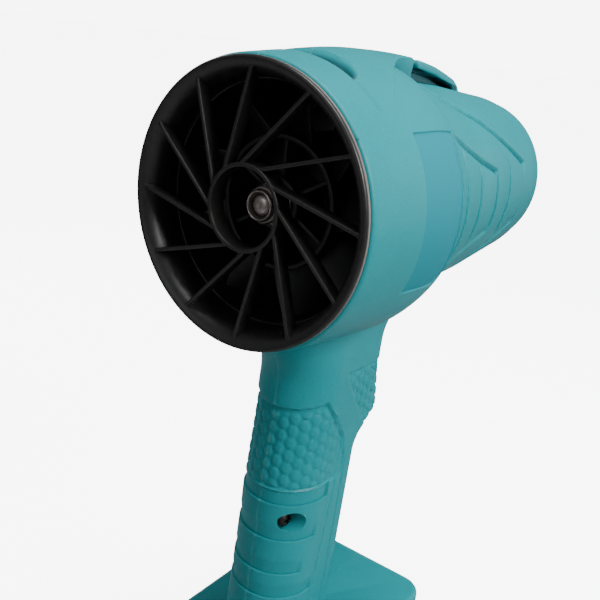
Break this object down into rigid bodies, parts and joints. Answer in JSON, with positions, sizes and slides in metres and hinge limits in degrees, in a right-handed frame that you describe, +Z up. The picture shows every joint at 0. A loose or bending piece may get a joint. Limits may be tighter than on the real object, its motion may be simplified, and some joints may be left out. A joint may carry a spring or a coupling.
{
  "type": "car dryer blower",
  "caption": "Cordless pistol-grip car dryer blower: ducted fan behind a finger guard, tapered nozzle, trigger grip, top hook and a slide-on battery it stands on.",
  "frame": {"origin": "centre of the battery's flat underside, which the blower stands on", "axes": "+X the way the air leaves the nozzle, +Y to the left, +Z up"},
  "size_m": [0.1888, 0.1128, 0.3285],
  "materials": {
    "housing_teal": "satin moulded plastic with a fine grain",
    "black_plastic": "fine matt moulded plastic",
    "battery_plastic": "spark-eroded matt plastic",
    "bright_steel": "bright zinc plate",
    "laminated_steel": "stacked sheet steel",
    "magnet": "nickel plated",
    "copper": "enamelled copper",
    "circuit_board": "solder mask",
    "lead_insulation": "soft silicone",
    "cell_wrap": "shrink wrap over a steel can"
  },
  "bodies": {
    "blower_body": {"housing_left": "housing_teal", "housing_right": "housing_teal", "intake_guard": "black_plastic", "fan_duct": "black_plastic", "tail_cone": "black_plastic", "outlet_ring": "black_plastic", "stator_core": "laminated_steel", "stator_coil_1": "copper", "stator_coil_2": "copper", "stator_coil_3": "copper", "stator_coil_4": "copper", "stator_coil_5": "copper", "stator_coil_6": "copper", "front_bearing_outer_race": "bright_steel", "back_bearing_outer_race": "bright_steel", "switch_body": "black_plastic", "control_board": "circuit_board", "motor_leads": "lead_insulation", "battery_leads": "lead_insulation", "terminal_block": "black_plastic", "terminal_positive": "copper", "terminal_negative": "copper", "trigger_spring": "bright_steel", "housing_screw_1": "bright_steel", "housing_screw_2": "bright_steel", "housing_screw_3": "bright_steel"},
    "fan_wheel": {"impeller": "black_plastic", "impeller_nut": "bright_steel", "impeller_washer": "bright_steel", "motor_shaft": "bright_steel", "rotor_core": "laminated_steel", "rotor_magnets": "magnet", "front_bearing_inner_race": "bright_steel", "back_bearing_inner_race": "bright_steel"},
    "trigger": {"trigger": "black_plastic"},
    "battery_pack": {"battery_cover": "battery_plastic", "battery_base": "battery_plastic", "battery_screw_1": "bright_steel", "battery_screw_2": "bright_steel", "battery_screw_3": "bright_steel", "battery_screw_4": "bright_steel", "battery_cell_1": "cell_wrap", "battery_cell_2": "cell_wrap", "battery_cell_3": "cell_wrap", "battery_cell_4": "cell_wrap", "battery_cell_5": "cell_wrap", "battery_cell_6": "cell_wrap", "battery_cell_7": "cell_wrap", "battery_cell_8": "cell_wrap", "battery_cell_9": "cell_wrap", "battery_cell_10": "cell_wrap", "release_spring": "bright_steel"},
    "release_button": {"battery_release_button": "battery_plastic"}
  },
  "joints": [
    {"name": "fan_spin", "type": "hinge", "parent": "blower_body", "child": "fan_wheel", "pos_m": [0, 0, 0.2721], "axis": [1, 0, 0], "continuous": true},
    {"name": "trigger_pull", "type": "slide", "parent": "blower_body", "child": "trigger", "axis": [-1, 0, 0], "range_m": [0, 0.007], "stiffness_N_per_m": 600, "springref_m": -0.004, "deforming": ["trigger_spring"]},
    {"name": "battery_slide", "type": "slide", "parent": "blower_body", "child": "battery_pack", "axis": [1, 0, 0], "range_m": [0, 0.1]},
    {"name": "release_press", "type": "slide", "parent": "battery_pack", "child": "release_button", "axis": [0, 0, -1], "range_m": [0, 0.004], "stiffness_N_per_m": 700, "springref_m": -0.002, "deforming": ["release_spring"]}
  ]
}
